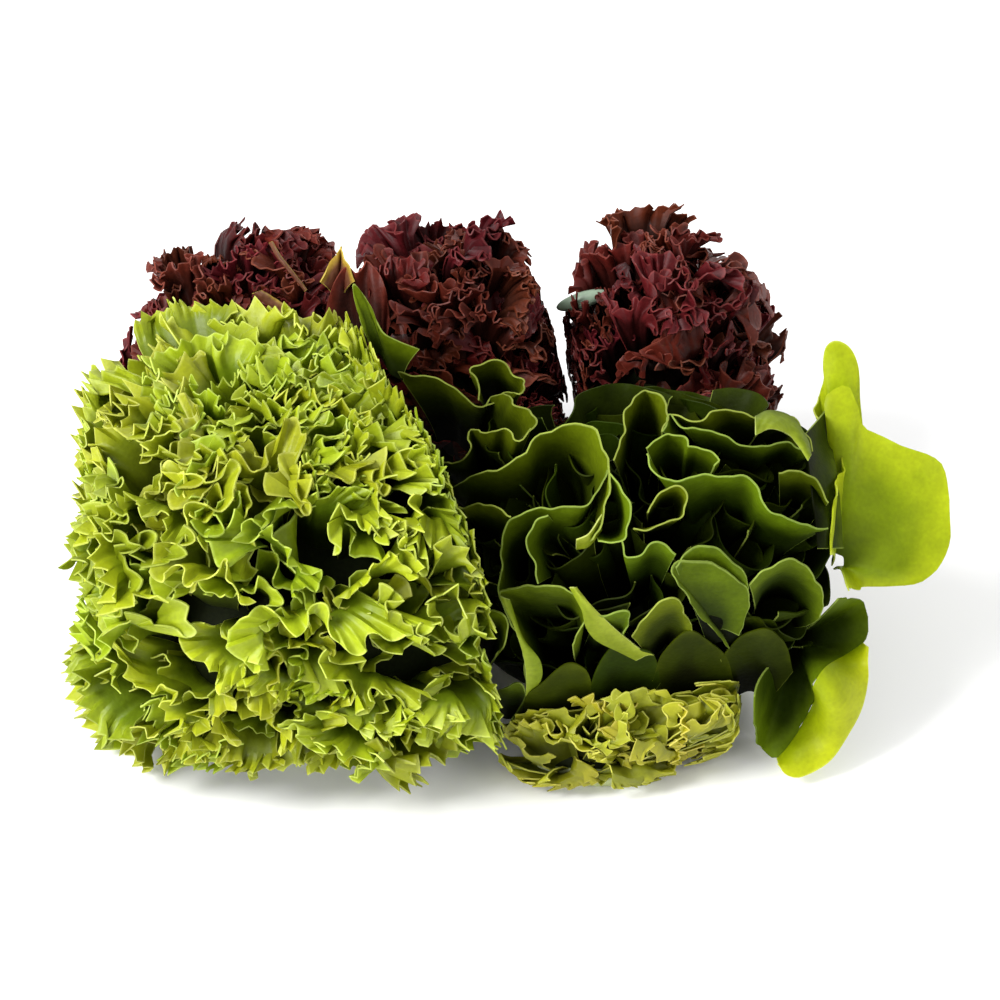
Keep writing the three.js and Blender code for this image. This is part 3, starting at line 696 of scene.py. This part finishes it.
def leaf_colour_group():
    """The colour of a leaf, from its place on the leaf and the leaf's own tint, with painted shade towards
    its foot.
    """
    tree = bpy.data.node_groups.new("leaf_colour", "ShaderNodeTree")
    for name in ("Foot colour and painted shade", "Middle", "Tip", "Margin"):
        tree.interface.new_socket(name, in_out="INPUT", socket_type="NodeSocketColor")
    for name, value in (("Middle from", 0.3), ("Tip from", 0.65), ("Mottle", 0.3), ("Variety", 0.3)):
        tree.interface.new_socket(name, in_out="INPUT", socket_type="NodeSocketFloat").default_value = value
    tree.interface.new_socket("Colour", in_out="OUTPUT", socket_type="NodeSocketColor")
    tree.interface.new_socket("Seen through", in_out="OUTPUT", socket_type="NodeSocketColor")
    tree.interface.new_socket("Height", in_out="OUTPUT", socket_type="NodeSocketFloat")
    nodes, links = tree.nodes, tree.links
    given = nodes.new("NodeGroupInput")
    result = nodes.new("NodeGroupOutput")

    def put(socket, value):
        if isinstance(value, bpy.types.NodeSocket):
            links.new(value, socket)
        else:
            socket.default_value = value

    def maths(operation, *values):
        node = nodes.new("ShaderNodeMath")
        node.operation = operation
        for socket, value in zip(node.inputs, values):
            put(socket, value)
        return node.outputs[0]

    def mixed(factor, one, other, blend="MIX"):
        node = nodes.new("ShaderNodeMix")
        node.data_type = "RGBA"
        node.blend_type = blend
        put(node.inputs[0], factor)
        put(node.inputs[6], one)
        put(node.inputs[7], other)
        return node.outputs[2]

    def between(value, low, high):
        node = nodes.new("ShaderNodeMapRange")
        node.interpolation_type = "SMOOTHSTEP"
        put(node.inputs["Value"], value)
        put(node.inputs["From Min"], low)
        put(node.inputs["From Max"], high)
        return node.outputs["Result"]

    def uv(name):
        node = nodes.new("ShaderNodeUVMap")
        node.uv_map = name
        split = nodes.new("ShaderNodeSeparateXYZ")
        links.new(node.outputs["UV"], split.inputs[0])
        return split.outputs[0], split.outputs[1]

    def noise(vector, scale, detail):
        node = nodes.new("ShaderNodeTexNoise")
        node.inputs["Scale"].default_value = scale
        node.inputs["Detail"].default_value = detail
        links.new(vector, node.inputs["Vector"])
        return node.outputs["Fac"]

    across, v = uv("leaf")
    tint_one, tint_two = uv("plant")
    coords = nodes.new("ShaderNodeTexCoord").outputs["Object"]

    mottle = noise(coords, scale=90, detail=2)
    fine = noise(coords, scale=700, detail=1)
    wander = maths("MULTIPLY", maths("SUBTRACT", mottle, 0.5), 0.25)
    height = maths("ADD", v, wander)

    # From the foot to the tip the colour runs from dark to light: the dark towards the foot is painted shade
    # of the hollows deep in the head
    lower = mixed(between(height, given.outputs["Middle from"], given.outputs["Tip from"]),
                  given.outputs["Foot colour and painted shade"], given.outputs["Middle"])
    upper = mixed(between(height, given.outputs["Tip from"], 1.0), lower, given.outputs["Tip"])

    # The very edge of the leaf has the margin's colour: the green leaves' own pale edge, and a painted
    # highlight on the red leaves
    side = maths("ABSOLUTE", maths("SUBTRACT", maths("MULTIPLY", across, 2.0), 1.0))
    edge = maths("MAXIMUM", between(v, *EDGE), between(side, *EDGE))
    edged = mixed(edge, upper, given.outputs["Margin"])

    # Each leaf has its own hue and brightness, and the mottle shows in the brightness
    shade = nodes.new("ShaderNodeHueSaturation")
    spread = maths("SUBTRACT", tint_one, 0.5)
    put(shade.inputs["Hue"], maths("ADD", 0.5, maths("MULTIPLY", maths("SUBTRACT", tint_two, 0.5), 0.03)))
    dapple = maths("MULTIPLY", maths("SUBTRACT", maths("ADD", mottle, fine), 1.0), given.outputs["Mottle"])
    value = maths("ADD", maths("ADD", 1.0, maths("MULTIPLY", spread, given.outputs["Variety"])), dapple)
    put(shade.inputs["Value"], value)
    put(shade.inputs["Color"], edged)
    put(result.inputs["Colour"], shade.outputs["Color"])

    # The light that comes through is richer
    bright = nodes.new("ShaderNodeHueSaturation")
    bright.inputs["Saturation"].default_value = 1.15
    bright.inputs["Value"].default_value = 1.25
    put(bright.inputs["Color"], shade.outputs["Color"])
    put(result.inputs["Seen through"], bright.outputs["Color"])
    put(result.inputs["Height"], maths("MULTIPLY", fine, 0.4))
    return tree


def put_uvs(mesh, v):
    """The maps that a leaf's finish reads, on a plain body: from 0, the foot's colour with its painted shade,
    to 1, the tip's.
    """
    while mesh.uv_layers:
        mesh.uv_layers.remove(mesh.uv_layers[0])
    half = np.full(len(mesh.loops), 0.5)
    for name, high in (("leaf", v), ("plant", half)):
        mesh.uv_layers.new(name=name).data.foreach_set("uv", np.column_stack([half, high]).ravel())


def core_object(head):
    """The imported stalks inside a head: a ball pressed between its neighbours, on a flat cut stem."""
    core = head["core"]
    bpy.ops.mesh.primitive_uv_sphere_add(segments=48, ring_count=24, radius=1)
    ball = bpy.context.object
    co = np.zeros(len(ball.data.vertices) * 3)
    ball.data.vertices.foreach_get("co", co)
    co = co.reshape(-1, 3)
    lowest = max(core["centre"][2] - core["radii"][2] * STEM_STARTS_AT, STEM_STARTS_ABOVE)
    start = math.asin((lowest - core["centre"][2]) / core["radii"][2])
    angle = np.arcsin(np.clip(co[:, 2], -1, 1))
    round_part = np.maximum(angle, start)
    flat = co[:, :2] / np.maximum(np.linalg.norm(co[:, :2], axis=1), 1e-9)[:, None]
    reach = np.cos(round_part) ** CORE_FULLNESS
    points = np.column_stack([
        core["centre"][0] + flat[:, 0] * reach * core["radii"][0],
        core["centre"][1] + flat[:, 1] * reach * core["radii"][1],
        core["centre"][2] + np.sin(round_part) * core["radii"][2],
    ])
    points[np.linalg.norm(co[:, :2], axis=1) < 1e-6, :2] = core["centre"][:2]
    points = press(points, head["planes"])
    below = angle < start
    down = np.clip((start - angle[below]) / (start + math.pi / 2), 0, 1)
    to_stem = np.minimum(down * 2, 1)[:, None]
    disc = np.clip(2 - down * 2, 0, 1)[:, None]
    stem = np.column_stack([
        core["centre"][0] + flat[below, 0] * core["stem"][0] * disc[:, 0],
        core["centre"][1] + flat[below, 1] * core["stem"][1] * disc[:, 0],
        np.zeros(below.sum()),
    ])
    points[below] = points[below] * (1 - to_stem) + stem * to_stem
    ball.data.vertices.foreach_set("co", ((points + SHIFT) / 1000).ravel())
    corner = np.zeros(len(ball.data.loops), int)
    ball.data.loops.foreach_get("vertex_index", corner)
    # The ball takes the foot's near-black colour, painted shade deep inside the head; only the cut stem below
    # shows pale
    put_uvs(ball.data, (points[corner, 2] < STEM_SHOWS_BELOW).astype(float))
    return ball


def leafy_piece(name, node, leaves, material, head=None):
    """One piece of the bunch: its thin leaves with their thickness, and the core that they grow from."""
    sheets = Sheets()
    for leaf in leaves:
        sheets.add(leaf)
    points = (np.vstack(sheets.points) + SHIFT) / 1000
    mesh = bpy.data.meshes.new(name)
    mesh.from_pydata(points.tolist(), [], sheets.faces)
    corner = np.zeros(len(mesh.loops), int)
    mesh.loops.foreach_get("vertex_index", corner)
    for layer_name, values in (("leaf", sheets.places), ("plant", sheets.tints)):
        layer = mesh.uv_layers.new(name=layer_name)
        layer.data.foreach_set("uv", np.vstack(values)[corner].ravel())
    mesh.materials.append(material)
    piece = bpy.data.objects.new(name, mesh)
    bpy.context.collection.objects.link(piece)
    bpy.ops.object.select_all(action="DESELECT")
    bpy.context.view_layer.objects.active = piece
    piece.select_set(True)
    wall = piece.modifiers.new("thickness", "SOLIDIFY")
    wall.thickness = LEAF_THICKNESS / 1000
    wall.offset = 0
    bpy.ops.object.modifier_apply(modifier=wall.name)
    if head is not None:
        bpy.ops.object.select_all(action="DESELECT")
        core = core_object(head)
        core.data.materials.append(PAINTED_SHADE_CORE_FINISH)
        core.select_set(True)
        piece.select_set(True)
        bpy.context.view_layer.objects.active = piece
        bpy.ops.object.join()
    bpy.ops.object.select_all(action="DESELECT")
    piece.select_set(True)
    bpy.context.view_layer.objects.active = piece
    bpy.ops.object.shade_smooth_by_angle(angle=math.radians(SMOOTH_UP_TO))
    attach(piece, "root")
    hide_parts(node)


def stalk_piece(head):
    """The pale piece of stalk that lies on the outside of a red head."""
    bpy.ops.mesh.primitive_uv_sphere_add(segments=32, ring_count=16, radius=1)
    stalk = bpy.context.object
    stalk.name = "pale_stalk"
    stalk.scale = np.array(STALK["half_sizes"]) / 1000
    stalk.rotation_euler = (0, math.radians(STALK["lean"]), 0)
    stalk.location = (on_outside(head, *STALK["at"]) + SHIFT) / 1000
    bpy.ops.object.transform_apply(location=True, rotation=True, scale=True)
    put_uvs(stalk.data, np.full(len(stalk.data.loops), 0.5))
    stalk.data.materials.append(PALE_STALK)
    bpy.ops.object.shade_smooth_by_angle(angle=math.radians(SMOOTH_UP_TO))
    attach(stalk, "root")
    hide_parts("frilly_red_right")


def studio():
    """The camera, which looks from the front and above through a long lens, the floor and the lights."""
    place = VIEW_UP * UP - VIEW_BACK * AWAY + SHIFT - AWAY * VIEW_DISTANCE
    data = bpy.data.cameras.new("camera")
    data.sensor_width = SENSOR
    data.lens = SENSOR * VIEW_DISTANCE / VIEW_WIDTH
    data.clip_start = 0.05
    data.clip_end = 20
    camera = bpy.data.objects.new("camera", data)
    bpy.context.collection.objects.link(camera)
    camera.location = place / 1000
    camera.rotation_euler = (math.radians(90 - VIEW_TILT), 0, 0)
    bpy.context.scene.camera = camera

    bpy.ops.mesh.primitive_plane_add(size=FLOOR_SIZE)
    floor = bpy.context.object
    floor.name = "floor"
    pale = bpy.data.materials.new("pale_floor")
    pale.use_nodes = True
    pale.node_tree.nodes["Principled BSDF"].inputs["Base Color"].default_value = (0.9, 0.9, 0.9, 1)
    pale.node_tree.nodes["Principled BSDF"].inputs["Roughness"].default_value = 0.8
    floor.data.materials.append(pale)

    def light(name, at, size, power):
        lamp = bpy.data.lights.new(name, "AREA")
        lamp.shape = "DISK"
        lamp.size = size
        lamp.energy = power
        lit = bpy.data.objects.new(name, lamp)
        bpy.context.collection.objects.link(lit)
        lit.location = at
        direction = np.array(LIT_PLACE) - np.array(at)
        lit.rotation_euler = Vector(direction).to_track_quat("-Z", "Y").to_euler()

    for name, at, size, power in LIGHTS:
        light(name, at, size, power)
    world = bpy.data.worlds.new("studio") if bpy.context.scene.world is None else bpy.context.scene.world
    bpy.context.scene.world = world
    world.use_nodes = True
    background = world.node_tree.nodes["Background"]
    background.inputs["Color"].default_value = (1, 1, 1, 1)
    background.inputs["Strength"].default_value = SKY_STRENGTH
    bpy.context.scene.view_settings.view_transform = "Standard"


LEAF_COLOUR = leaf_colour_group()

# Where the heads stand in the frame: the frilly head's stem shows how far the part was moved to be centred
stem_points = np.array([v.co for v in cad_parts["frilly_green_head"].data.vertices])
stem_points = stem_points[stem_points[:, 2] < 1e-5] * 1000
SHIFT = np.array([*(stem_points.min(axis=0) + stem_points.max(axis=0))[:2] / 2, 0])
SHIFT[:2] -= FRILLY_HEAD["core"]["centre"][:2]

# The cores' near-black balls are painted shade deep inside the heads; their cut stems have the pale stem
# colour
PAINTED_SHADE_CORE_FINISH = material_of("packed_stalks_in_painted_shade", {
    "Foot colour and painted shade": (22, 27, 8), "Middle": (60, 74, 26), "Tip": (150, 160, 104), "Margin": (168, 176, 128),
    "Middle from": 0.3, "Tip from": 0.72, "Mottle": 0.8, "Variety": 0.0,
}, roughness=0.7, seen_through=0.0, gloss=0.08)
# In the green and red leaf finishes below, the foot's colour, darker than the rest, is painted shade of the
# hollows deep in the head
FRILLY_GREEN = material_of("frilly_green_leaf", {
    "Foot colour and painted shade": (44, 54, 4), "Middle": (112, 130, 12), "Tip": (164, 176, 28), "Margin": (188, 198, 82),
    "Middle from": 0.3, "Tip from": 0.72, "Mottle": 0.35, "Variety": 0.35,
}, roughness=0.45, seen_through=0.3)
SKIRT_GREEN = material_of("skirt_leaf", {
    "Foot colour and painted shade": (88, 92, 8), "Middle": (134, 138, 18), "Tip": (168, 168, 32), "Margin": (194, 192, 80),
    "Middle from": 0.3, "Tip from": 0.72, "Mottle": 0.35, "Variety": 0.3,
}, roughness=0.45, seen_through=0.3)
# The rolled leaves' dark green is partly their own colour and partly painted shade: near black at the foot,
# deep in the hollows. The shaded parts of the outer leaves take it too
SMOOTH_GREEN = material_of("rolled_leaf", {
    "Foot colour and painted shade": (14, 18, 2), "Middle": (42, 54, 4), "Tip": (90, 106, 10), "Margin": (136, 152, 66),
    "Middle from": 0.3, "Tip from": 0.62, "Mottle": 0.4, "Variety": 0.35,
}, roughness=0.5, seen_through=0.2, gloss=0.05)
# The outer leaves' bright yellow-green is painted light where they catch the light and are lit from behind;
# the shaded parts of the same leaves have the rolled leaves' dark finish
PAINTED_LIT_OUTER_GREEN = material_of("painted_lit_outer_leaf", {
    "Foot colour and painted shade": (84, 100, 6), "Middle": (160, 174, 10), "Tip": (194, 200, 26), "Margin": (210, 214, 90),
    "Middle from": 0.1, "Tip from": 0.6, "Mottle": 0.3, "Variety": 0.1,
}, roughness=0.45, seen_through=0.45, gloss=0.25)
# The folded rims' light green is painted light where they catch the light, brighter than the rolled leaves
# they belong to
PAINTED_LIT_RIM_GREEN = material_of("painted_lit_rolled_rim", {
    "Foot colour and painted shade": (60, 74, 8), "Middle": (126, 142, 24), "Tip": (154, 168, 48), "Margin": (178, 190, 100),
    "Middle from": 0.2, "Tip from": 0.7, "Mottle": 0.4, "Variety": 0.1,
}, roughness=0.5, seen_through=0.25, gloss=0.15)
# The red leaves' very edge takes a lighter pinkish red: painted highlight, where the edges' own colour is
# darker
DEEP_RED = material_of("red_leaf", {
    "Foot colour and painted shade": (16, 7, 4), "Middle": (46, 13, 9), "Tip": (80, 22, 16), "Margin": (104, 44, 36),
    "Middle from": 0.35, "Tip from": 0.7, "Mottle": 0.8, "Variety": 0.6,
}, roughness=0.5, seen_through=0.15, gloss=0.2)
YOUNG_LEAF = material_of("young_leaf", {
    "Foot colour and painted shade": (84, 40, 26), "Middle": (104, 66, 44), "Tip": (160, 132, 44), "Margin": (180, 160, 70),
    "Middle from": 0.3, "Tip from": 0.7, "Mottle": 0.4, "Variety": 0.2,
}, roughness=0.5, seen_through=0.2, gloss=0.2)
PALE_STALK = material_of("pale_stalk", {
    "Foot colour and painted shade": (134, 152, 132), "Middle": (138, 156, 134), "Tip": (152, 164, 132), "Margin": (170, 176, 140),
    "Middle from": 0.3, "Tip from": 0.7, "Mottle": 0.15, "Variety": 0.0,
}, roughness=0.4, seen_through=0.1, gloss=0.3)

frilly = spiral_leaves(FRILLY_HEAD)
half = len(frilly) // 2
leafy_piece("frilly_green_top", "frilly_green_head", frilly[:half], FRILLY_GREEN, FRILLY_HEAD)
leafy_piece("frilly_green_lower", "frilly_green_head", frilly[half:], FRILLY_GREEN)
leafy_piece("frilly_skirt", "frilly_green_skirt", spiral_leaves(SKIRT), SKIRT_GREEN, SKIRT)

# The low outer leaf has only the leaves along the front as its neighbours
low_side = [SKIRT_RIGHT_PLANE]
rolled = [placed_leaf(SMOOTH_HEAD, foot, margin, 500 + i) for i, (foot, margin) in enumerate(ROLLED_LEAVES)]
rolled += [
    placed_leaf(SMOOTH_HEAD, *STANDING_LEAF, 560, folds=0.8, foot_share=0.4, shades=(0.45, 1)),
    # The tall leaf's shaded part: a dark sheet between the head and the tall leaf, painted shade with the
    # darker part of the colour
    panel(SMOOTH_HEAD, *TALL_SHADED, 561, deep=(6, 12), bulge=3, folds=1.4, shades=(0.35, 0.8)),
    placed_leaf(SMOOTH_HEAD, *BOAT, 563, foot_share=0.2, shades=(0.62, 1)),
    # The low outer leaf's inner part, painted dark as shade; its lit flap is among the outer leaves
    placed_leaf(SMOOTH_HEAD, *LOW_SHADED, 562, planes=low_side, folds=0.9, foot_share=0.1,
                shades=(0.2, 0.95)),
]
# The leaves in front keep to a darker part of the colour, painted shade
rolled += [placed_leaf(SMOOTH_HEAD, foot, margin, 570 + i, folds=1.0, shades=(0.1, 0.72))
           for i, (foot, margin) in enumerate(FRONT_ROW)]
rolled += spiral_leaves(SMOOTH_HEAD)
leafy_piece("rolled_leaves", "smooth_green_head", rolled, SMOOTH_GREEN, SMOOTH_HEAD)
outer = [
    placed_leaf(SMOOTH_HEAD, *TALL_FRONT, 900, deep=4, folds=1.3, foot_share=0.1, shades=(0.2, 0.97)),
    placed_leaf(SMOOTH_HEAD, *TALL_BACK, 901, deep=12, folds=0.8, foot_share=0.3, shades=(0.3, 1)),
    panel(SMOOTH_HEAD, *LOW_FLAP, 902, deep=(0, -7), bulge=2.5, folds=0.7, planes=low_side),
]
leafy_piece("outer_leaves", "smooth_green_head", outer, PAINTED_LIT_OUTER_GREEN)
rims = [
    panel(SMOOTH_HEAD, *TOP_FLAP, 906, bulge=1.5, folds=0.5, shades=(0.4, 1)),
    panel(SMOOTH_HEAD, *CUP_STRIP, 903, deep=(2, 0), bulge=0.8),
    panel(SMOOTH_HEAD, *CUP_FLAP, 904, bulge=1.2, folds=0.5),
    panel(SMOOTH_HEAD, *SMALL_FLAP, 905, deep=(6, 0), bulge=0.5),
]
leafy_piece("rolled_rims", "smooth_green_head", rims, PAINTED_LIT_RIM_GREEN)

for name, head in RED_HEADS.items():
    leafy_piece(name + "_leaves", name, spiral_leaves(head), DEEP_RED, head)
between = [placed_leaf(BETWEEN, *BETWEEN_LEAF, 913, folds=1.5, foot_share=0.6, shades=(0.2, 1))]
leafy_piece("red_left_end_leaf", "frilly_red_left", between, DEEP_RED)
red_left = RED_HEADS["frilly_red_left"]
ribs = [
    panel(red_left, *LEFT_RIB, 910, deep=(3, 3), bulge=0.8, shades=(0.5, 0.9)),
    panel(red_left, *LOW_RIB, 911, deep=(-1, -1), bulge=0.8, shades=(0.4, 0.9)),
    placed_leaf(BETWEEN, *YOUNG_TIP, 912, deep=-2, folds=0.5, foot_share=0.3),
]
leafy_piece("red_left_ribs", "frilly_red_left", ribs, YOUNG_LEAF)
stalk_piece(RED_HEADS["frilly_red_right"])
studio()
